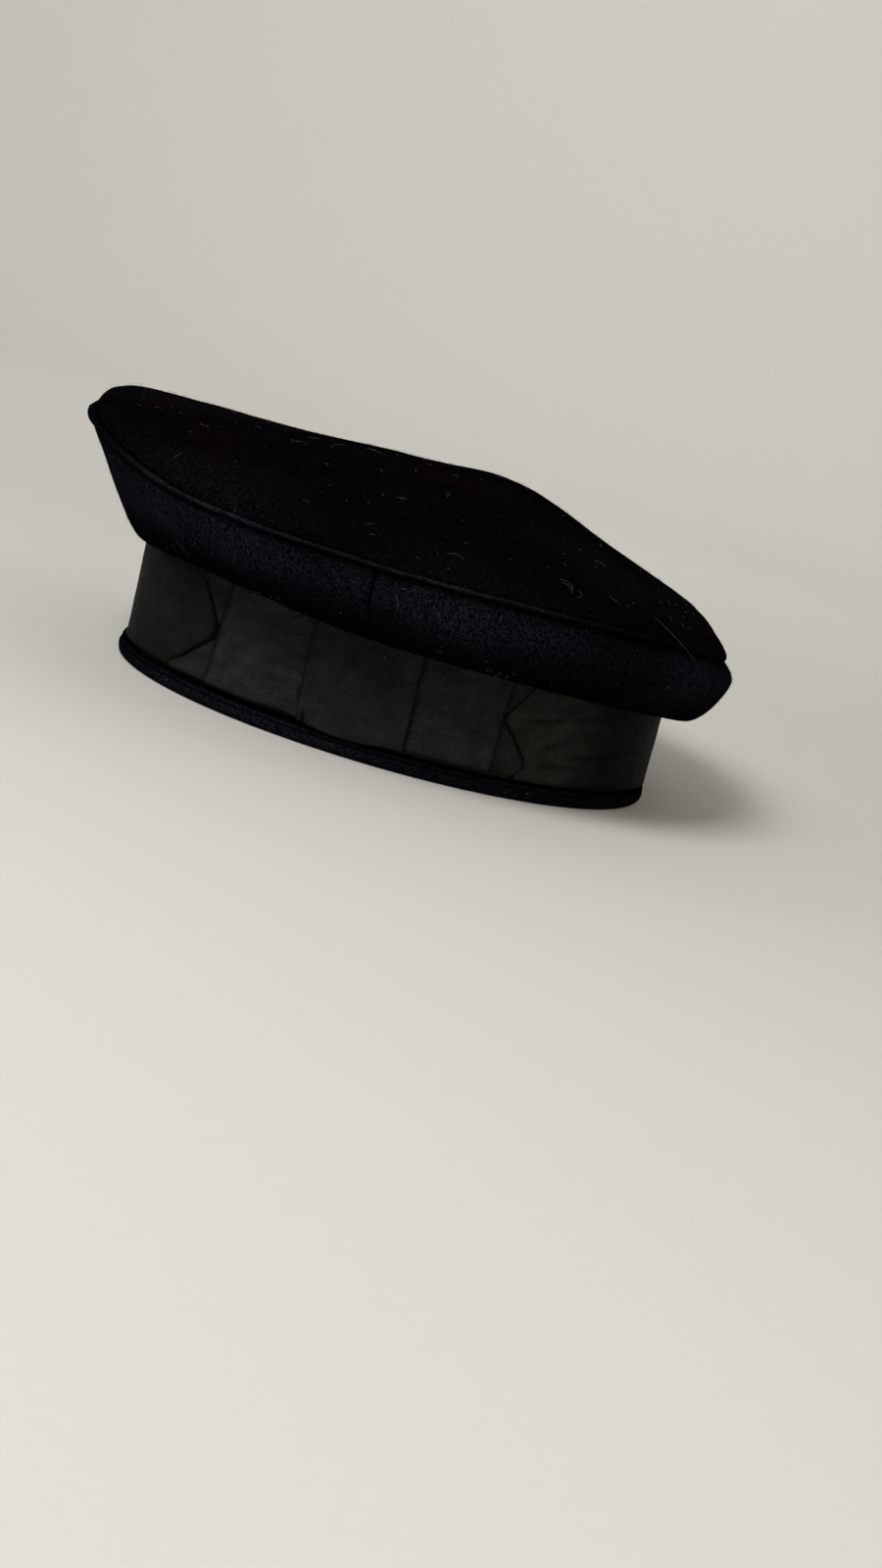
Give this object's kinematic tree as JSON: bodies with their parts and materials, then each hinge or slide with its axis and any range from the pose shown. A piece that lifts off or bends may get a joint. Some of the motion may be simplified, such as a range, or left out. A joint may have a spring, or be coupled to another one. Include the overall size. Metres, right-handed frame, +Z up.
{
  "type": "sailor cap",
  "caption": "Soft round sailor cap of navy wool without a peak, with a black ribbon round its band tied in a flat bow at the left side.",
  "frame": {"origin": "middle of the head opening, on the plane that the cap rests on", "axes": "+Z up out of the opening to the crown, -Y the cap's front, +X the wearer's left, where the bow is"},
  "size_m": [0.248, 0.2548, 0.1004],
  "materials": {
    "navy_wool": "matte fulled wool with a short nap",
    "black_ribbon": "satin ribbed ribbon"
  },
  "bodies": {
    "root": {"crown_top": "navy_wool", "side_panel_front": "navy_wool", "side_panel_back": "navy_wool", "rim_piping": "navy_wool", "band": "navy_wool", "lower_welt": "navy_wool", "ribbon_wrap": "black_ribbon", "bow_tails": "black_ribbon", "bow_wings": "black_ribbon", "bow_knot": "black_ribbon"}
  },
  "joints": []
}
